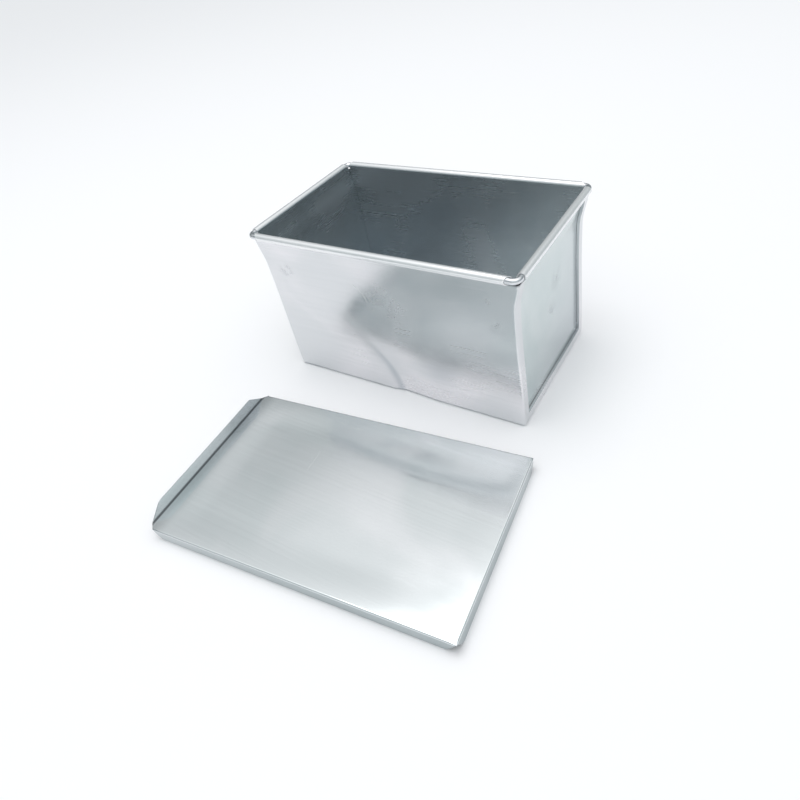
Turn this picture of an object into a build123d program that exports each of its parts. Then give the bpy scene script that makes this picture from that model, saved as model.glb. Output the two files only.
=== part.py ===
"""Loaf pan with a sliding lid, folded from bright coated steel sheet.

One long sheet is bent into the front wall, the floor and the back wall. A panel closes each end
and is hooked to that sheet by a flat lock seam. All four walls are curled at the top over one
ring of wire. The lid is a second folded sheet: its front and back edges are channels that slide
along the rim, one end has a down-turned stop and the other an up-turned pull lip.

Millimetres. The origin is the middle of the pan's underside, +X is the right end, -Y the front
wall and +Z is up. The lid lies right way up on the floor in front of the pan.
"""

import os

from build123d import *

# ---- sheet and wire ---------------------------------------------------------------------------
sheet = 0.6  # thickness of every folded sheet
wire_diameter = 4.0  # ring of wire inside the rim
wire_gap = 0.2  # curled sheet to wire, all round
wire_bend = 4.0  # corner radius of the ring, at its centre line
wire_butt = 0.5  # gap where the two ends of the ring meet

# ---- pan --------------------------------------------------------------------------------------
mouth_length = 200.0  # clear opening at the rim, left to right
mouth_width = 116.0  # clear opening at the rim, front to back
pan_height = 124.0  # table to the top of the rim
flare = 1.5  # how far each wall leans out by the rim
floor_bend = 2.4  # inside radius between the floor and the long walls

# ---- lock seams on the two ends ---------------------------------------------------------------
seam_width = 7.0  # width of the flat strip on the end panel
seam_gap = 0.1  # between two layers of the seam
seam_bend = 1.0  # inside radius where the long sheet turns onto the end
seam_drop = 1.0  # rim's underside to the top of the seam

# ---- rim corners ------------------------------------------------------------------------------
end_curl_setback = 3.0  # end curl stops this far short of the mouth corner
long_curl_setback = 1.2  # front and back curls stop here, next to the wall
long_curl_slant = 4.5  # and this much shorter on their outer side
corner_notch = 1.0  # sheet cut away under the bend of the wire, each way from the corner

# ---- lid --------------------------------------------------------------------------------------
rim_side_play = 0.4  # rim to the inside of a channel
rim_height_play = 3.2  # rim to the channel's lip
stop_play = 0.4  # end rim to the stop when the lid is closed
lid_overhang = 4.0  # top sheet past the left rim when closed
channel_lip = 4.2  # in-turned lip of a channel
lid_bend = 0.6  # inside radius of the lid's folds
corner_cut = 4.0  # top sheet's corner cut off beside the pull lip, each way
left_sweep = 10.0  # rounded end of a channel by the pull lip, along its lower edge
right_sweep = 10.0  # rounded end of a channel by the stop
stop_sweep = 9.0  # rounded corner of the stop, along its lower edge
pull_height = 9.0  # height of the pull lip above the top sheet
pull_clip = 15.5  # clipped corner of the pull lip, from the lid's side along its top edge
pull_round = 6.0  # radius where the clip meets the top edge

# ---- where the lid lies -----------------------------------------------------------------------
lid_ahead = 34.0  # clear floor between the pan's rim and the lid's near edge
lid_shift = 18.5  # lid's middle to the right of the pan's middle
lid_yaw = 5.4  # degrees the lid is turned on the floor

# ---- worked out -------------------------------------------------------------------------------
curl_radius = wire_diameter / 2 + wire_gap + sheet
rim_z = pan_height - curl_radius  # centre line of the wire
seam_top = rim_z - curl_radius - seam_drop
notch_floor = rim_z - wire_diameter / 2 - wire_gap
layer = sheet + seam_gap  # one step of the seam's stack
seam_stack = 3 * layer + sheet  # end panel's inside face to the outside of the strip
reach = mouth_length  # past every end and side

rim_length = mouth_length + 4 * curl_radius
rim_width = mouth_width + 4 * curl_radius
lid_width = rim_width + 2 * (rim_side_play + sheet)
lid_length = rim_length + stop_play + sheet + lid_overhang
lid_depth = 2 * curl_radius + rim_height_play + 2 * sheet
lid_y = -(rim_width / 2 + lid_ahead + lid_width / 2)
lid_place = Location((lid_shift, lid_y, 0), (0, 0, lid_yaw))


# ---- planes -----------------------------------------------------------------------------------
def end_plane(side, distance=0.0):
    """Leaning plane of an end panel's inside face, moved outward; side is 1 or -1."""
    foot = (side * (mouth_length / 2 - flare), 0, 0)
    return Plane(origin=foot, x_dir=(0, side, 0), z_dir=(side * rim_z, 0, -flare)).offset(distance)


def rim_plane(outward, distance):
    """Plane across a curl: its origin is the wall's inside face at the wire's height."""
    out = Vector(*outward)
    return Plane(origin=out * distance + Vector(0, 0, rim_z), x_dir=out, z_dir=out.cross(Vector(0, 0, 1)))


def lid_plane(plane=Plane.XY, shift=(0, 0, 0)):
    """A plane of the lid's own frame, in its place on the floor."""
    return Plane(lid_place * Location(shift) * plane.location)


# ---- profiles ---------------------------------------------------------------------------------
def tub(outset, top, mode=Mode.ADD):
    """Fill the pan's cross section, grown by outset from its inside faces, up to height top."""
    floor = sheet - outset
    half_floor = mouth_width / 2 - flare + flare * floor / rim_z + outset
    half_top = mouth_width / 2 - flare + flare * top / rim_z + outset
    with BuildLine() as outline:
        FilletPolyline(
            (-half_top, top),
            (-half_floor, floor),
            (half_floor, floor),
            (half_top, top),
            radius=max(floor_bend + outset, sheet),
        )
        Line((half_top, top), (-half_top, top))
    make_face(outline.edges(), mode=mode)


# A curled edge is a ring round the wire, open below where its end tucks in against the wall. The
# ring starts a little below the wire's height, so that it joins the top of the wall.
with BuildSketch() as curl:
    with Locations((curl_radius, 0)):
        Circle(curl_radius)
        Circle(curl_radius - sheet, mode=Mode.SUBTRACT)
    with BuildLine():
        Polyline(
            (curl_radius, 0),
            (-sheet, -sheet / 2),
            (-sheet, -curl_radius - sheet),
            (curl_radius, 0),
        )
    make_face(mode=Mode.SUBTRACT)

# The sheet is notched at all four corners of the mouth, under the bends of the wire.
with BuildPart() as corner_notches:
    with BuildSketch(Plane.XY.offset(notch_floor)):
        with GridLocations(mouth_length, mouth_width, 2, 2):
            Rectangle(2 * corner_notch, 2 * corner_notch)
    extrude(amount=reach)


# ---- seam pieces ------------------------------------------------------------------------------
def end_layer(side, near, far, outer, inner=None, top=seam_top):
    """Flat layer of one end between two distances from the panel's inside face."""
    with BuildPart() as flat:
        with BuildSketch(Plane.YZ):
            tub(outer, top)
            if inner is not None:
                tub(inner, top + sheet, mode=Mode.SUBTRACT)
        extrude(amount=reach, both=True)
        split(bisect_by=end_plane(side, far), keep=Keep.BOTTOM)
        split(bisect_by=end_plane(side, near), keep=Keep.TOP)
    return flat.part


def seam_block(outset, distance, bend):
    """Block of the cross section, as high as the seams, with the edges of both ends rounded."""
    with BuildPart() as block:
        with BuildSketch(Plane.YZ):
            tub(outset, seam_top)
        extrude(amount=reach, both=True)
        for side in (-1, 1):
            split(bisect_by=end_plane(side, distance), keep=Keep.BOTTOM)
        for end in (0, -1):
            turned = block.faces().sort_by(Axis.X)[end].edges().sort_by(Axis.Z)[:-1]
            fillet(turned, bend)
    return block.part


# ---- front wall, floor and back wall ----------------------------------------------------------
seam_outside = seam_block(sheet, seam_stack, seam_bend + sheet)
seam_inside = seam_block(0, seam_stack - sheet, seam_bend)
seam_hems = []
for side in (-1, 1):
    seam_hems.append(end_layer(side, layer, layer + sheet, -layer - seam_gap, -seam_width))
    seam_hems.append(end_layer(side, layer, seam_stack, sheet - seam_width, -seam_width))

with BuildPart() as body_sheet:
    with BuildSketch(Plane.YZ):
        tub(sheet, rim_z)
        tub(0, rim_z + sheet, mode=Mode.SUBTRACT)
    extrude(amount=reach, both=True)
    for side in (-1, 1):
        split(bisect_by=end_plane(side, sheet), keep=Keep.BOTTOM)
    add(seam_outside)
    add(seam_inside, mode=Mode.SUBTRACT)
    with BuildSketch(Plane.YZ):
        tub(-seam_width, seam_top + sheet)
    extrude(amount=reach, both=True, mode=Mode.SUBTRACT)
    # The block above cut the long walls down to the seam's top, so they are put back here.
    with BuildSketch(Plane.YZ):
        tub(sheet, rim_z)
        tub(0, rim_z + sheet, mode=Mode.SUBTRACT)
    extrude(amount=mouth_length / 2 - flare, both=True)
    add(seam_hems)
    for front in (-1, 1):
        with BuildSketch(rim_plane((0, front, 0), mouth_width / 2)):
            add(curl.sketch)
        extrude(amount=mouth_length / 2 - long_curl_setback, both=True)
        for side in (-1, 1):
            tip = Vector(side * (mouth_length / 2 - long_curl_setback), front * (mouth_width / 2 + sheet))
            with BuildSketch(Plane.XY.offset(seam_top)):
                with BuildLine():
                    Polyline(
                        tip,
                        tip + Vector(-side * long_curl_slant, front * 2 * curl_radius),
                        tip + Vector(side * corner_notch, front * 2 * curl_radius),
                        tip,
                    )
                make_face()
            extrude(amount=reach, mode=Mode.SUBTRACT)
    add(corner_notches.part, mode=Mode.SUBTRACT)

body_sheet.part.label = "body_sheet"

# ---- end panels -------------------------------------------------------------------------------
fold_outside = seam_block(-seam_gap, 2 * layer + sheet, seam_bend - seam_gap)
fold_inside = seam_block(-layer, 2 * layer, seam_bend - layer)
end_panels = []
for side, name in ((-1, "left_end_panel"), (1, "right_end_panel")):
    plate = end_layer(side, 0, sheet, -seam_gap, top=rim_z)
    with BuildPart() as end_panel:
        add(fold_outside)
        add(fold_inside, mode=Mode.SUBTRACT)
        with BuildSketch(Plane.YZ):
            tub(layer - seam_width, seam_top + sheet)
        extrude(amount=reach, both=True, mode=Mode.SUBTRACT)
        split(bisect_by=end_plane(side), keep=Keep.TOP)
        add(plate)
        with BuildSketch(rim_plane((side, 0, 0), mouth_length / 2)):
            add(curl.sketch)
        extrude(amount=mouth_width / 2 - end_curl_setback, both=True)
        add(corner_notches.part, mode=Mode.SUBTRACT)
    end_panel.part.label = name
    end_panels.append(end_panel.part)

# ---- rim wire ---------------------------------------------------------------------------------
half_ring_length = mouth_length / 2 + curl_radius
half_ring_width = mouth_width / 2 + curl_radius

with BuildPart() as rim_wire:
    with BuildLine(Plane.XY.offset(rim_z)) as ring:
        FilletPolyline(
            (wire_butt / 2, half_ring_width),
            (half_ring_length, half_ring_width),
            (half_ring_length, -half_ring_width),
            (-half_ring_length, -half_ring_width),
            (-half_ring_length, half_ring_width),
            (-wire_butt / 2, half_ring_width),
            radius=wire_bend,
        )
    with BuildSketch(Plane(origin=(wire_butt / 2, half_ring_width, rim_z), z_dir=(1, 0, 0))):
        Circle(wire_diameter / 2)
    sweep(path=ring.wire())

rim_wire.part.label = "rim_wire"


# ---- lid --------------------------------------------------------------------------------------
half_length = lid_length / 2
half_width = lid_width / 2
under_top = lid_depth - sheet
pull_top = lid_depth + pull_height
channel_start = -half_length + corner_cut
stop_inside = half_length - sheet


def lid_block(left, right, half_width, floor, top, bend):
    """Block in the lid's frame, rounded where the lid's sheet is folded: not at the left end."""
    with BuildPart() as block:
        with BuildSketch(lid_plane(shift=((left + right) / 2, 0, floor))):
            Rectangle(right - left, 2 * half_width)
        extrude(amount=top - floor)
        levels = block.edges().group_by(Axis.Z)
        channel_folds = levels[0].sort_by(SortBy.LENGTH)[-2:]
        top_folds = levels[-1].sort_by(Axis.X)[1:]
        fillet(channel_folds + top_folds, bend)
    return block.part


def swept_corner(root, tip, side):
    """Fill what is cut off a folded edge: a curve from root under the top sheet to tip on the floor."""
    with BuildLine() as outline:
        Bezier((root, under_top), ((root + tip) / 2, 0), (tip, 0))
        Polyline((tip, 0), (side, 0), (side, under_top), (root, under_top))
    make_face(outline.edges())


def pull_lip():
    """Lip folded up at the left end, with a strip of the top sheet; both its ends are clipped."""
    with BuildPart() as lip:
        with BuildSketch(lid_plane(Plane.XZ)):
            with BuildLine():
                Polyline(
                    (channel_start, under_top),
                    (-half_length, under_top),
                    (-half_length, pull_top),
                    (-half_length + sheet, pull_top),
                    (-half_length + sheet, lid_depth),
                    (channel_start, lid_depth),
                    (channel_start, under_top),
                )
            section = make_face()
            fillet(section.vertices().sort_by_distance((-half_length, under_top))[0], lid_bend + sheet)
            fillet(section.vertices().sort_by_distance((-half_length + sheet, lid_depth))[0], lid_bend)
        extrude(amount=half_width, both=True)
        with BuildSketch(lid_plane(Plane.YZ, (-half_length, 0, 0))):
            Rectangle(lid_width, lid_depth, align=(Align.CENTER, Align.MIN))
            with BuildLine():
                Polyline(
                    (corner_cut - half_width, lid_depth),
                    (pull_clip - half_width, pull_top),
                    (half_width - pull_clip, pull_top),
                    (half_width - corner_cut, lid_depth),
                    (corner_cut - half_width, lid_depth),
                )
            outline = make_face()
            fillet(outline.vertices().group_by(Axis.Y)[-1], pull_round)
        extrude(amount=corner_cut, mode=Mode.INTERSECT)
    return lip.part


with BuildPart() as sliding_lid:
    add(lid_block(channel_start, half_length, half_width, 0, lid_depth, lid_bend + sheet))
    add(
        lid_block(-half_length, stop_inside, half_width - sheet, sheet, under_top, lid_bend),
        mode=Mode.SUBTRACT,
    )
    # The underside is open between the lips of the two channels.
    with BuildSketch(lid_plane(shift=(-sheet, 0, 0))):
        Rectangle(lid_length, 2 * (half_width - sheet - channel_lip))
    extrude(amount=2 * sheet, mode=Mode.SUBTRACT)
    # The channels' ends sweep up to the top sheet, on the right in front of the stop.
    with BuildSketch(lid_plane(Plane.XZ)):
        swept_corner(channel_start, left_sweep - half_length, -half_length)
        swept_corner(stop_inside - lid_bend, stop_inside - right_sweep, stop_inside)
    extrude(amount=half_width, both=True, mode=Mode.SUBTRACT)
    # So do the stop's two lower corners.
    with BuildSketch(lid_plane(Plane.YZ, (stop_inside - sheet, 0, 0))):
        stop_root = half_width - sheet - lid_bend
        stop_tip = half_width - stop_sweep
        for front in (-1, 1):
            swept_corner(front * stop_root, front * stop_tip, front * half_width)
    extrude(amount=2 * sheet, mode=Mode.SUBTRACT)
    add(pull_lip())
    # The top sheet's two corners beside the pull lip are cut off.
    with BuildSketch(lid_plane()):
        for front in (-1, 1):
            with BuildLine() as corner:
                Polyline(
                    (-half_length, front * (half_width - corner_cut)),
                    (channel_start, front * half_width),
                    (-half_length, front * half_width),
                    (-half_length, front * (half_width - corner_cut)),
                )
            make_face(corner.edges())
    extrude(amount=pull_top, mode=Mode.SUBTRACT)

sliding_lid.part.label = "sliding_lid"

# ---- files ------------------------------------------------------------------------------------
os.makedirs("parts", exist_ok=True)
for piece in (body_sheet.part, *end_panels, rim_wire.part, sliding_lid.part):
    export_step(piece, f"parts/{piece.label}.step")
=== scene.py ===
"""Looks of the lidded loaf pan: bright rolled sheet, a little dented and worn.

The pan stands on a white floor in soft studio light, with its lid lying in front of it.
"""

import math
import random

import bmesh
import bpy
from mathutils import Matrix, Vector


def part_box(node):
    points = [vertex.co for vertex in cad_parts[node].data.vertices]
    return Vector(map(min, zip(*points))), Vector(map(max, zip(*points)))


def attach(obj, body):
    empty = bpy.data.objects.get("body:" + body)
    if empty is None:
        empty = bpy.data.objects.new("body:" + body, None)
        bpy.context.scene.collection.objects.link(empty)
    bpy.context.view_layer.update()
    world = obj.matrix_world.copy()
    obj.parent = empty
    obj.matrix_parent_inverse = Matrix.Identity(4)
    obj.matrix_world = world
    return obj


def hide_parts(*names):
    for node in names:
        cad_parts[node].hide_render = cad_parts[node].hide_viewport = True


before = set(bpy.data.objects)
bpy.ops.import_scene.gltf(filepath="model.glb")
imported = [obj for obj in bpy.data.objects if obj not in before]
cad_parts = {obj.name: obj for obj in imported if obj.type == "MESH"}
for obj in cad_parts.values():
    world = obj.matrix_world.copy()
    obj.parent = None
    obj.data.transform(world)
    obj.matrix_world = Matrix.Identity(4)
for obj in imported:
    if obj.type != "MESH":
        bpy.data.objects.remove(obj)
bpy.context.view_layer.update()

# ---- sizes, in metres -------------------------------------------------------------------------
MM = 0.001
PAN_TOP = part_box("body_sheet")[1][2]
LEAN = 0.0124  # how far each wall leans out, per metre of height
WALL_END = 98.5 * MM  # where the walls' flat middles end, beside the seams
WALL_FOOT = 57.1 * MM  # outside of the front and back walls at the floor
INSIDE_FOOT = Vector((98.7, 56.7, 0.3)) * MM  # half the pan's inside at the floor, and its height
RIM_DEPTH = 5 * MM  # height of the curled rim
LID_MIDDLE = Vector((18.5, -162.2, 0)) * MM
LID_YAW = math.radians(5.4)
LID_HALF = Vector((108.1, 64.6, 0)) * MM
LID_TOP = 10 * MM
LIP_HEIGHT = 9 * MM  # pull lip above the lid's top sheet
SKIN = 0.9 * MM  # a little more than the sheet's thickness
CELL = 5 * MM  # grid that the sheets are cut into before they are bent
LID_CELL = (4 * MM, 3 * MM, CELL)

# The knock at the foot of the front wall has its ridge at x = -(start + lean * z + curve * z * z).
KNOCK_START = 1 * MM
KNOCK_LEAN = 0.05
KNOCK_CURVE = 9.0


# ---- small helpers ----------------------------------------------------------------------------
def ease(value, start, end):
    """0 before start and 1 after end, with a smooth rise between them."""
    t = min(max((value - start) / (end - start), 0), 1)
    return t * t * (3 - 2 * t)


def bump(distance, radius):
    """1 at distance 0, falling smoothly to 0 at radius."""
    return 1 - ease(abs(distance), 0, radius)


class Waves:
    """Gentle random unevenness of a sheet, between about -1 and 1."""

    def __init__(self, seed, shortest, longest, count=7):
        dice = random.Random(seed)
        self.parts = []
        for _ in range(count):
            turn = dice.uniform(0, math.pi)
            pitch = math.tau / dice.uniform(shortest, longest)
            start = dice.uniform(0, math.tau)
            self.parts.append((pitch * math.cos(turn), pitch * math.sin(turn), start))

    def at(self, u, v):
        total = sum(math.sin(a * u + b * v + c) for a, b, c in self.parts)
        return total / math.sqrt(2 * len(self.parts))


# ---- sheet shapes -----------------------------------------------------------------------------
def cut_grid(mesh, turn, low, high, step):
    """Cut a mesh along the planes of a grid turned by turn, so that it can be bent smoothly."""
    for axis in range(3):
        normal = Vector((0, 0, 0))
        normal[axis] = 1
        count = int((high[axis] - low[axis]) / step[axis])
        for i in range(1, count):
            point = Vector((0, 0, 0))
            point[axis] = low[axis] + (high[axis] - low[axis]) * i / count
            bmesh.ops.bisect_plane(
                mesh,
                geom=mesh.verts[:] + mesh.edges[:] + mesh.faces[:],
                dist=1e-6,
                plane_co=turn @ point,
                plane_no=turn.to_3x3() @ normal,
            )


def pan_area(p):
    """Which material a point of the pan's sheets has: 0 outside, 1 inside, 2 on the curled rim,
    which gets a lighter copy of the sheet as painted light.
    """
    half_length = INSIDE_FOOT.x + LEAN * p.z
    half_width = INSIDE_FOOT.y + LEAN * p.z
    inside = abs(p.x) < half_length and abs(p.y) < half_width and p.z > INSIDE_FOOT.z
    if p.z > PAN_TOP - RIM_DEPTH and not inside:
        return 2
    return int(inside)


def lid_area(p):
    """Which material a point of the lid has: 0 on the top sheet and pull lip, 1 on the flanges,
    which get a darker copy of the sheet as painted shade.
    """
    return int(p.z < LID_TOP - SKIN)


def plain_copy(node_name):
    """Bmesh of a CAD piece, with its flat faces whole instead of in triangles."""
    mesh = bmesh.new()
    mesh.from_mesh(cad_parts[node_name].data)
    bmesh.ops.remove_doubles(mesh, verts=mesh.verts, dist=2e-6)
    flat = math.radians(0.4)
    bmesh.ops.dissolve_limit(mesh, angle_limit=flat, verts=mesh.verts, edges=mesh.edges)
    return mesh


def smooth_piece(name, mesh):
    """Object made of a bmesh, smooth but for its folds; the bmesh is used up."""
    data = bpy.data.meshes.new(name)
    mesh.to_mesh(data)
    mesh.free()
    data.shade_smooth()
    data.set_sharp_from_angle(angle=math.radians(32))
    piece = bpy.data.objects.new(name, data)
    bpy.context.collection.objects.link(piece)
    normals = piece.modifiers.new("normals", "WEIGHTED_NORMAL")
    normals.keep_sharp = True
    return piece


def bent_copy(
    name, node_name, body, shift, area=pan_area, turn=Matrix(), step=(CELL, CELL, CELL)
):
    """Finely cut copy of a CAD piece whose points are moved by shift, in the piece's own frame.

    turn is that frame, step its grid's cell, and area gives the number of each face's material.
    """
    mesh = plain_copy(node_name)
    back = turn.inverted()
    places = [back @ v.co for v in mesh.verts]
    low = [min(p[i] for p in places) for i in range(3)]
    high = [max(p[i] for p in places) for i in range(3)]
    cut_grid(mesh, turn, low, high, step)
    for face in mesh.faces:
        face.material_index = area(face.calc_center_median())
    for v in mesh.verts:
        local = back @ v.co
        v.co = turn @ (local + shift(local))
    piece = smooth_piece(name, mesh)
    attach(piece, body)
    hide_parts(node_name)
    return piece


front_waves = Waves(11, 70 * MM, 150 * MM)
back_waves = Waves(12, 70 * MM, 150 * MM)
floor_waves = Waves(13, 80 * MM, 160 * MM)
lid_waves = Waves(31, 90 * MM, 200 * MM)


def crease(x, z):
    """Push of the knock at the foot of the front wall, 0 to 1: its ridge leans left as it rises."""
    middle = -KNOCK_START - KNOCK_LEAN * z - KNOCK_CURVE * z * z
    left_side = ease(x - middle, -6 * MM, 1 * MM)
    right_side = 1 - ease(x - middle, 1 * MM, 36 * MM)
    fade = 1 - ease(z, 14 * MM, 56 * MM)
    return left_side * right_side * fade


def pull_in(p):
    """Shift along X that draws the ends inwards; they bell out again just below the rim."""
    below_bell = 1 - ease(p.z, 98 * MM, 117 * MM)
    depth = (0.6 * MM + 2.5 * MM * ease(p.z, 0, 92 * MM)) * below_bell
    return -math.copysign(depth * ease(abs(p.x), 55 * MM, 96 * MM), p.x)


def body_shift(p):
    """Unevenness of the tub: its walls move in and out and its floor up, but its rim stays put."""
    clear_of_seams = 1 - ease(abs(p.x), WALL_END - 24 * MM, WALL_END - 2 * MM)
    below_rim = 1 - ease(p.z, PAN_TOP - 28 * MM, PAN_TOP - 9 * MM)
    on_wall = ease(abs(p.y), WALL_FOOT - 14 * MM, WALL_FOOT - 1 * MM)
    above_floor = ease(p.z, 2 * MM, 26 * MM)
    waves = front_waves if p.y < 0 else back_waves
    out = 0.34 * MM * waves.at(p.x, p.z) * above_floor * below_rim * on_wall
    if p.y < 0:
        out += 1.6 * MM * crease(p.x, p.z) * on_wall
    up = 0
    if p.z < 3 * MM:
        edge = 1 - ease(abs(p.y), WALL_FOOT - 22 * MM, WALL_FOOT - 4 * MM)
        up = 0.3 * MM * (1 + 0.8 * floor_waves.at(p.x, p.y)) * edge * clear_of_seams
    return Vector((pull_in(p), out * clear_of_seams, up))


def panel_shift(side):
    """Unevenness of an end panel, inside its seams and rim; the right one has a knock.

    side is 1 for the right end and -1 for the left one.
    """
    waves = Waves(20 + side, 60 * MM, 120 * MM)

    def shift(p):
        clear_of_seams = 1 - ease(abs(p.y), 34 * MM, 48 * MM)
        clear_of_floor = ease(p.z, 11 * MM, 30 * MM)
        below_rim = 1 - ease(p.z, PAN_TOP - 26 * MM, PAN_TOP - 9 * MM)
        free = clear_of_seams * clear_of_floor * below_rim
        out = 0.36 * MM * waves.at(p.y, p.z)
        if side > 0:
            knock = bump(math.hypot(p.y - 2 * MM, p.z - 57 * MM), 9 * MM)
            fold = bump(p.y - 10 * MM + 0.2 * (p.z - 70 * MM), 9 * MM)
            fold *= bump(p.z - 62 * MM, 34 * MM)
            out -= 0.8 * MM * knock + 0.4 * MM * fold
        return Vector((side * out * free + pull_in(p), 0, 0))

    return shift


def lid_band(x, y):
    """Shallow valley, 0 to 1 deep, that runs from the lid's back left to its right end."""
    turning_point = 60 * MM
    curve = 1.21 if x < turning_point else 2.2
    behind = y - 29 * MM - curve * (x - turning_point) ** 2
    depth = ease(x, -75 * MM, 30 * MM)
    return depth * ease(behind, -1 * MM, 8 * MM) * (1 - ease(behind, 9 * MM, 32 * MM))


def lid_shift(p):
    """The lid's top sheet sags a little between its stiff folds, and its pull lip is bowed."""
    if p.z < LID_TOP - 1 * MM:
        return Vector((0, 0, 0))
    if p.z > LID_TOP + 0.1 * MM:
        bow = 0.5 * MM * math.cos(p.y / LID_HALF.y * math.pi / 2)
        return Vector((bow * ease(p.z, LID_TOP, LID_TOP + LIP_HEIGHT), 0, 0))
    along = 1 - ease(abs(p.x), LID_HALF.x - 30 * MM, LID_HALF.x - 3 * MM)
    across = 1 - ease(abs(p.y), LID_HALF.y - 26 * MM, LID_HALF.y - 3 * MM)
    ends = 1 - ease(abs(p.x), LID_HALF.x - 9 * MM, LID_HALF.x - 3 * MM)
    sag = (0.3 * MM * lid_waves.at(p.x, p.y) - 0.45 * MM) * along * across
    return Vector((0, 0, sag - 0.6 * MM * lid_band(p.x, p.y) * ends))


lid_turn = Matrix.Translation(LID_MIDDLE) @ Matrix.Rotation(LID_YAW, 4, "Z")

body = bent_copy("body_skin", "body_sheet", "pan", body_shift)
left_panel = bent_copy("left_end_skin", "left_end_panel", "pan", panel_shift(-1))
right_panel = bent_copy("right_end_skin", "right_end_panel", "pan", panel_shift(1))
lid = bent_copy(
    "lid_skin", "sliding_lid", "lid", lid_shift, lid_area, lid_turn, LID_CELL
)


# ---- materials --------------------------------------------------------------------------------
ROLLING_LINE = (0.52, 0.55, 0.57, 1)
SCRATCH = (0.95, 0.96, 0.97, 1)
SMUDGE = (0.4, 0.42, 0.44, 1)
# Tints of painted shade: a paler one for wide patches and a dark one for crevices.
PAINTED_SHADE_TINT = (0.42, 0.46, 0.50, 1)
CREVICE_SHADE_TINT = (0.1, 0.11, 0.12, 1)


class Nodes:
    """Short way to write a material's node tree."""

    def __init__(self, name):
        self.material = bpy.data.materials.new(name)
        self.material.use_nodes = True
        self.tree = self.material.node_tree
        self.shader = self.tree.nodes["Principled BSDF"]

    def put(self, value, socket):
        """Link a socket to value where that is another node's socket, or else set it."""
        if isinstance(value, bpy.types.NodeSocket):
            self.tree.links.new(value, socket)
        else:
            socket.default_value = value

    def math(self, operation, a, b=0.0, c=0.0):
        node = self.tree.nodes.new("ShaderNodeMath")
        node.operation = operation
        for value, socket in zip((a, b, c), node.inputs):
            self.put(value, socket)
        return node.outputs[0]

    def place(self, scale=(1, 1, 1), angle=(0, 0, 0), offset=(0, 0, 0)):
        """The piece's own coordinates, in metres, scaled and turned."""
        coords = self.tree.nodes.new("ShaderNodeTexCoord")
        mapping = self.tree.nodes.new("ShaderNodeMapping")
        self.put(coords.outputs["Object"], mapping.inputs["Vector"])
        mapping.inputs["Scale"].default_value = scale
        mapping.inputs["Rotation"].default_value = angle
        mapping.inputs["Location"].default_value = offset
        return mapping.outputs[0]

    def noise(self, vector, scale=1.0, detail=2.0, distortion=0.0):
        node = self.tree.nodes.new("ShaderNodeTexNoise")
        self.put(vector, node.inputs["Vector"])
        node.inputs["Scale"].default_value = scale
        node.inputs["Detail"].default_value = detail
        node.inputs["Distortion"].default_value = distortion
        return node.outputs[0]

    def spread(self, value, low, high, to_low=0.0, to_high=1.0):
        """value from low..high to to_low..to_high, smoothly and clamped."""
        node = self.tree.nodes.new("ShaderNodeMapRange")
        node.interpolation_type = "SMOOTHSTEP"
        self.put(value, node.inputs["Value"])
        node.inputs["From Min"].default_value = low
        node.inputs["From Max"].default_value = high
        node.inputs["To Min"].default_value = to_low
        node.inputs["To Max"].default_value = to_high
        return node.outputs[0]

    def mix(self, factor, a, b):
        node = self.tree.nodes.new("ShaderNodeMix")
        node.data_type = "RGBA"
        self.put(factor, node.inputs["Factor"])
        self.put(a, node.inputs[6])
        self.put(b, node.inputs[7])
        return node.outputs[2]

    def relief(self, height, strength, distance):
        """Give the surface a relief, distance deep at most."""
        node = self.tree.nodes.new("ShaderNodeBump")
        node.inputs["Strength"].default_value = strength
        node.inputs["Distance"].default_value = distance
        self.put(height, node.inputs["Height"])
        self.put(node.outputs[0], self.shader.inputs["Normal"])

    def axes(self):
        """X, Y and Z of the piece's own coordinates."""
        coords = self.tree.nodes.new("ShaderNodeTexCoord")
        split = self.tree.nodes.new("ShaderNodeSeparateXYZ")
        self.put(coords.outputs["Object"], split.inputs[0])
        return split.outputs

    def near(self, point, radius):
        """1 at a point of the piece, falling to 0 at radius."""
        coords = self.tree.nodes.new("ShaderNodeTexCoord")
        node = self.tree.nodes.new("ShaderNodeVectorMath")
        node.operation = "DISTANCE"
        self.put(coords.outputs["Object"], node.inputs[0])
        node.inputs[1].default_value = point
        return self.spread(node.outputs["Value"], 0.0, radius, 1.0, 0.0)


def seam_painted_shade(n):
    """Mask of painted shade: 1 on an end panel right beside the folded strips of its seams, 0 a
    little away from them.
    """
    _, y, z = n.axes()
    beside = n.math("SUBTRACT", n.math("ABSOLUTE", y), n.math("MULTIPLY", z, LEAN))
    beside = n.spread(beside, 48.3 * MM, 49.8 * MM)
    above = n.spread(z, 7.7 * MM, 9.3 * MM, 1.0, 0.0)
    return n.math("MAXIMUM", beside, above)


def lid_lip_painted_shade(n):
    """Mask of painted shade and painted reflection: 1 along the foot of the lid's pull lip, 0 a
    little way in.
    """
    place = n.place(angle=(0, 0, -LID_YAW))
    split = n.tree.nodes.new("ShaderNodeSeparateXYZ")
    n.put(place, split.inputs[0])
    middle = LID_MIDDLE.x * math.cos(LID_YAW) + LID_MIDDLE.y * math.sin(LID_YAW)
    inwards = n.math("SUBTRACT", split.outputs[0], middle - LID_HALF.x)
    # Wide: painted reflection of the upright lip in the top sheet. Narrow: painted shade in the
    # lip's fold.
    wide = n.math("MULTIPLY", n.spread(inwards, 2 * MM, 15 * MM, 1.0, 0.0), 0.35)
    fold = n.math("MULTIPLY", n.spread(inwards, 1.5 * MM, 2.6 * MM, 1.0, 0.0), 0.8)
    on_top = n.spread(split.outputs[2], LID_TOP + 0.4 * MM, LID_TOP + 1 * MM, 1.0, 0.0)
    return n.math("MULTIPLY", n.math("MAXIMUM", wide, fold), on_top)


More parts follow.
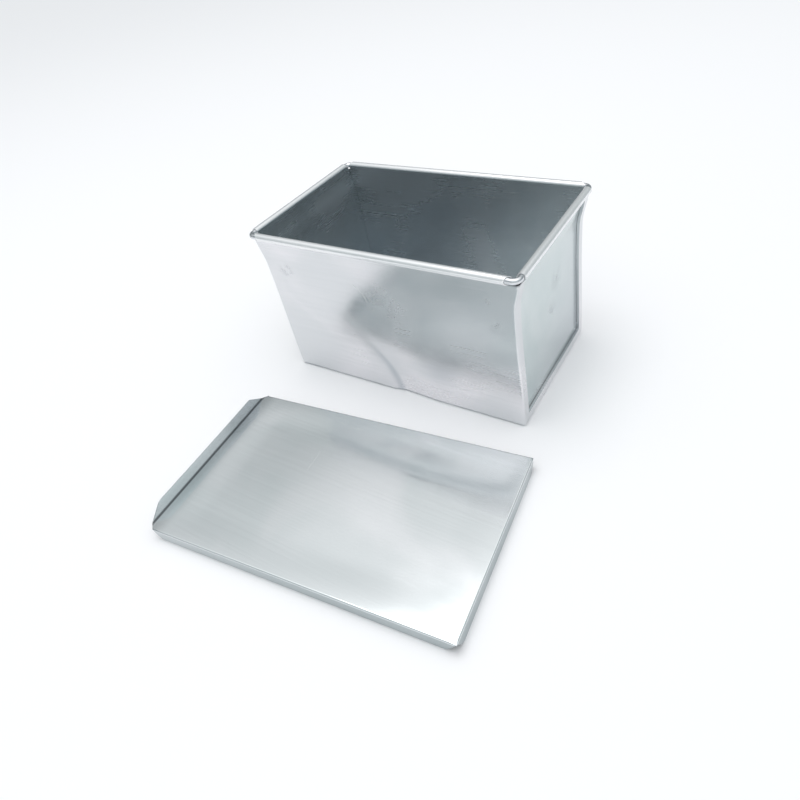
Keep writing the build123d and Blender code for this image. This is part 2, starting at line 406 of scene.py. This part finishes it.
def rim_curl_painted_shadow(n):
    """Mask of painted shadow: 1 under the curls of the front and back walls, 0 a little below them.
    """
    z = n.axes()[2]
    above_wall = n.spread(z, 115.6 * MM, 117.6 * MM)
    below_curl = n.spread(z, 118.0 * MM, 118.6 * MM, 1.0, 0.0)
    return n.math("MULTIPLY", above_wall, below_curl)


def end_painted_shade(n):
    """Mask of painted shade: 1 at an end panel's lower back corner, 0 at its upper front one."""
    _, y, z = n.axes()
    return n.spread(n.math("SUBTRACT", y, z), -110 * MM, 45 * MM)


def knock_painted_shade(n):
    """Mask of painted dark reflection: 1 along the ridge of the knock in the front wall and in a
    patch to its right.
    """
    x, y, z = n.axes()
    curve = n.math("MULTIPLY_ADD", n.math("MULTIPLY", z, z), KNOCK_CURVE, KNOCK_START)
    ridge = n.math("ADD", x, n.math("MULTIPLY_ADD", z, KNOCK_LEAN, curve))
    streak = n.spread(n.math("ABSOLUTE", ridge), 0.0, 5 * MM, 1.0, 0.0)
    streak = n.math("MULTIPLY", streak, n.spread(z, 26 * MM, 52 * MM, 1.0, 0.0))
    patch = n.math("MULTIPLY", n.near((0.038, -0.0575, 0.033), 22 * MM), 0.6)
    in_front = n.math("LESS_THAN", y, 0.0)
    return n.math("MULTIPLY", n.math("MAXIMUM", streak, patch), in_front)


def inside_painted_shade(n):
    """Mask of painted shade: 1 inside the pan's left end, 0 at its right end."""
    x, _, z = n.axes()
    return n.spread(n.math("SUBTRACT", n.math("MULTIPLY", z, 0.5), x), -60 * MM, 130 * MM)


def scratch_mask(n, seed):
    """1 in thin curved scratches, which are there only in patches."""
    curves = n.place(scale=(26, 40, 30), angle=(0.5, 0.7, 0.9), offset=(seed, 2, 0))
    from_middle = n.math("SUBTRACT", n.noise(curves, 1.0, 0.0, 0.3), 0.5)
    thin = n.spread(n.math("ABSOLUTE", from_middle), 0.0, 0.004, 1.0, 0.0)
    here = n.spread(n.noise(n.place(offset=(0, 0, seed)), 22.0, 1.0), 0.66, 0.76)
    return n.math("MULTIPLY", thin, here)


def smudge_mask(n, scuffs, fine):
    """1 in the blotchy middles of the scuffs."""
    total = 0.0
    for point, radius in scuffs:
        spot = n.math("MULTIPLY", n.near(point, radius), n.spread(fine, 0.46, 0.58))
        total = n.math("ADD", spot, total)
    return n.math("MINIMUM", total, 1.0)


def sheet_metal(
    name, cool, warm, shine, grain, scuffs=(), seed=0.0, crevice_shade=None, shade=None, metal=1.0
):
    """Bright rolled sheet: cloudy tint, fine lines along its rolling, scratches and scuffs.

    cool and warm are the two tints, shine the roughness, and grain the scale of the rolling lines
    along X, Y and Z. scuffs are (point, radius) in metres. The two mask functions after them
    paint shade into the tint: the first a dark shade along crevices, the second a wide paler shade.
    """
    n = Nodes(name)
    clouds = n.noise(n.place(offset=(seed, seed, seed)), 13.0, 3.0, 0.6)
    fine = n.noise(n.place(offset=(seed, 0, 0)), 160.0, 3.0)
    lines = n.noise(n.place(scale=grain, offset=(0, seed, 0)), 1.0, 3.0)
    scratches = scratch_mask(n, seed)
    smudge = smudge_mask(n, scuffs, fine)

    tint = n.mix(n.spread(clouds, 0.36, 0.66), (*cool, 1), (*warm, 1))
    tint = n.mix(n.math("MULTIPLY", n.spread(lines, 0.3, 0.7), 0.1), tint, ROLLING_LINE)
    tint = n.mix(n.math("MULTIPLY", scratches, 0.5), tint, SCRATCH)
    tint = n.mix(n.math("MULTIPLY", smudge, 0.35), tint, SMUDGE)
    # Painted shade: a wide patch turned towards the paler shade tint.
    if shade is not None:
        tint = n.mix(n.math("MULTIPLY", shade(n), 0.55), tint, PAINTED_SHADE_TINT)
    # Painted shade: the dark tint along crevices, under the rim's curls and at the lid's lip.
    if crevice_shade is not None:
        tint = n.mix(n.math("MULTIPLY", crevice_shade(n), 0.85), tint, CREVICE_SHADE_TINT)
    n.put(tint, n.shader.inputs["Base Color"])
    n.shader.inputs["Metallic"].default_value = metal

    rough = n.spread(clouds, 0.3, 0.7, shine - 0.03, shine + 0.05)
    rough = n.math("ADD", rough, n.math("MULTIPLY", n.math("SUBTRACT", lines, 0.5), 0.1))
    rough = n.math("ADD", rough, n.math("MULTIPLY", smudge, 0.12))
    rough = n.math("ADD", rough, n.math("MULTIPLY", scratches, 0.15))
    n.put(rough, n.shader.inputs["Roughness"])

    height = n.math("ADD", n.math("MULTIPLY", lines, 0.5), n.math("MULTIPLY", fine, 0.5))
    height = n.math("SUBTRACT", height, n.math("MULTIPLY", scratches, 0.4))
    n.relief(height, 0.16, 0.03 * MM)
    return n.material


def wire_metal():
    """Drawn steel wire: shiny, with a faint cloudy tint and small dull nicks."""
    n = Nodes("rim_wire_steel")
    clouds = n.noise(n.place(), 120.0, 3.0)
    nicks = n.spread(n.noise(n.place(offset=(3, 1, 2)), 420.0, 2.0), 0.62, 0.72)
    tint = n.mix(clouds, (0.66, 0.67, 0.7, 1), (0.8, 0.81, 0.83, 1))
    tint = n.mix(n.math("MULTIPLY", nicks, 0.5), tint, (0.35, 0.36, 0.38, 1))
    n.put(tint, n.shader.inputs["Base Color"])
    n.shader.inputs["Metallic"].default_value = 1
    rough = n.math("ADD", n.spread(clouds, 0.3, 0.7, 0.14, 0.24), n.math("MULTIPLY", nicks, 0.2))
    n.put(rough, n.shader.inputs["Roughness"])
    n.relief(n.math("SUBTRACT", clouds, nicks), 0.3, 0.05 * MM)
    return n.material


def dress(piece, *materials):
    """Give a piece its materials, in the order of its faces' material numbers."""
    for material in materials:
        piece.data.materials.append(material)


LONG_GRAIN = (9, 700, 700)
CROSS_GRAIN = (700, 9, 700)
LID_GRAIN = (12, 500, 500)
front_scuffs = (
    ((-0.081, -0.058, 0.095), 0.009),
    ((0.088, -0.058, 0.086), 0.010),
    ((0.084, -0.058, 0.103), 0.007),
    ((-0.001, -0.058, 0.084), 0.020),
)
end_scuffs = (
    ((0.097, 0.002, 0.057), 0.012),
    ((0.097, 0.012, 0.078), 0.013),
)
body_look = sheet_metal(
    "body_outside",
    (0.70, 0.715, 0.73),
    (0.83, 0.82, 0.84),
    0.23,
    LONG_GRAIN,
    front_scuffs,
    crevice_shade=rim_curl_painted_shadow,
    shade=knock_painted_shade,
)
# The ends get a darker, greener copy of the tub's sheet as painted shade.
end_shaded_look = sheet_metal(
    "end_outside_shaded",
    (0.55, 0.625, 0.625),
    (0.67, 0.72, 0.72),
    0.18,
    CROSS_GRAIN,
    end_scuffs,
    seed=3.0,
    crevice_shade=seam_painted_shade,
    shade=end_painted_shade,
)
# The inside's materials are darkened towards the left end by painted shade.
body_inside = sheet_metal(
    "body_inside",
    (0.72, 0.77, 0.79),
    (0.80, 0.83, 0.845),
    0.25,
    LONG_GRAIN,
    seed=2.0,
    shade=inside_painted_shade,
    metal=0.9,
)
end_inside = sheet_metal(
    "end_inside",
    (0.70, 0.76, 0.77),
    (0.78, 0.82, 0.83),
    0.25,
    CROSS_GRAIN,
    seed=4.0,
    shade=inside_painted_shade,
    metal=0.9,
)
lid_look = sheet_metal(
    "lid_top",
    (0.79, 0.83, 0.84),
    (0.84, 0.86, 0.875),
    0.17,
    LID_GRAIN,
    seed=6.0,
    crevice_shade=lid_lip_painted_shade,
)
# Painted shade: the flanges get a darker copy of the lid's sheet.
lid_flanges_shaded = sheet_metal(
    "lid_flanges_shaded",
    (0.42, 0.47, 0.48),
    (0.52, 0.56, 0.57),
    0.19,
    LID_GRAIN,
    seed=6.0,
)
# Painted light: the curls get a lighter, partly matt copy of the sheet, so they stay bright.
rim_painted_light = sheet_metal(
    "rim_curls_painted_light",
    (0.90, 0.91, 0.92),
    (0.95, 0.95, 0.96),
    0.16,
    LONG_GRAIN,
    seed=5.0,
    metal=0.6,
)
dress(body, body_look, body_inside, rim_painted_light)
dress(left_panel, end_shaded_look, end_inside, rim_painted_light)
dress(right_panel, end_shaded_look, end_inside, rim_painted_light)
dress(lid, lid_look, lid_flanges_shaded)
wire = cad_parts["rim_wire"]
wire.data.materials.clear()
dress(wire, wire_metal())


# ---- camera -----------------------------------------------------------------------------------
def add_camera():
    """Camera in front and to the right, looking down, and rolled a little."""
    azimuth = math.radians(37.694)
    elevation = math.radians(41.012)
    roll = math.radians(-11.436)
    target = Vector((9.69, -39.83, 0)) * MM
    distance = 471.25 * MM
    flat = Vector((math.sin(azimuth), -math.cos(azimuth), 0))
    back = flat * math.cos(elevation) + Vector((0, 0, math.sin(elevation)))
    level_right = Vector((math.cos(azimuth), math.sin(azimuth), 0))
    level_up = back.cross(level_right)
    right = level_right * math.cos(roll) + level_up * math.sin(roll)
    up = level_up * math.cos(roll) - level_right * math.sin(roll)
    data = bpy.data.cameras.new("camera")
    data.sensor_width = 36
    data.lens = 27.26
    data.shift_x = -0.0316
    data.shift_y = -0.0241
    camera = bpy.data.objects.new("camera", data)
    turn = Matrix((right, up, back)).transposed().to_4x4()
    camera.matrix_world = Matrix.Translation(target + back * distance) @ turn
    bpy.context.collection.objects.link(camera)
    bpy.context.scene.camera = camera


# ---- floor and light --------------------------------------------------------------------------
def add_floor():
    """Matt white floor."""
    half = 6
    data = bpy.data.meshes.new("floor")
    corners = [(-half, -half, 0), (half, -half, 0), (half, half, 0), (-half, half, 0)]
    data.from_pydata(corners, [], [(0, 1, 2, 3)])
    floor = bpy.data.objects.new("floor", data)
    bpy.context.collection.objects.link(floor)
    n = Nodes("floor_white")
    n.shader.inputs["Base Color"].default_value = (0.93, 0.925, 0.94, 1)
    n.shader.inputs["Roughness"].default_value = 0.95
    n.shader.inputs["Specular IOR Level"].default_value = 0.1
    data.materials.append(n.material)


# The sky's colour at each Z of the direction that it is seen in, from the horizon up.
SKY = (
    (0.0, (0.26, 0.30, 0.31)),
    (0.5, (0.34, 0.38, 0.39)),
    (0.68, (0.70, 0.74, 0.75)),
    (0.84, (1.03, 1.04, 1.05)),
    (1.0, (1.5, 1.5, 1.5)),
)
BRIGHT_SIDE = (0.6, -0.6, 0)  # the front right, where the sky is brighter


def add_sky():
    """Soft studio surround: dim near the floor, white overhead, and darker at the back left."""
    world = bpy.data.worlds.new("studio")
    world.use_nodes = True
    nodes, links = world.node_tree.nodes, world.node_tree.links
    coords = nodes.new("ShaderNodeTexCoord")
    split = nodes.new("ShaderNodeSeparateXYZ")
    ramp = nodes.new("ShaderNodeValToRGB")
    towards = nodes.new("ShaderNodeVectorMath")
    towards.operation = "DOT_PRODUCT"
    side = nodes.new("ShaderNodeMapRange")
    links.new(coords.outputs["Generated"], split.inputs[0])
    links.new(split.outputs["Z"], ramp.inputs[0])
    links.new(ramp.outputs[0], nodes["Background"].inputs["Color"])

    links.new(coords.outputs["Generated"], towards.inputs[0])
    links.new(towards.outputs["Value"], side.inputs["Value"])
    links.new(side.outputs[0], nodes["Background"].inputs["Strength"])
    towards.inputs[1].default_value = BRIGHT_SIDE
    side.inputs["From Min"].default_value = -1
    side.inputs["To Min"].default_value = 0.6
    side.inputs["To Max"].default_value = 1.65

    stops = ramp.color_ramp.elements
    stops.remove(stops[1])
    for position, _ in SKY[1:]:
        stops.new(position)
    for stop, (position, color) in zip(stops, SKY):
        stop.position = position
        stop.color = (*color, 1)
    bpy.context.scene.world = world


def add_lamp(name, place, aim, size, power):
    """Round soft lamp at place, turned to aim; metres and watts."""
    data = bpy.data.lights.new(name, "AREA")
    data.shape = "DISK"
    data.size = size
    data.energy = power
    lamp = bpy.data.objects.new(name, data)
    lamp.location = place
    lamp.rotation_euler = (Vector(aim) - Vector(place)).to_track_quat("-Z", "Y").to_euler()
    bpy.context.collection.objects.link(lamp)


add_camera()
add_floor()
add_sky()
add_lamp("key", (-0.25, -0.05, 1.9), (0, -0.05, 0.05), 1.2, 8)
bpy.context.scene.view_settings.view_transform = "Standard"
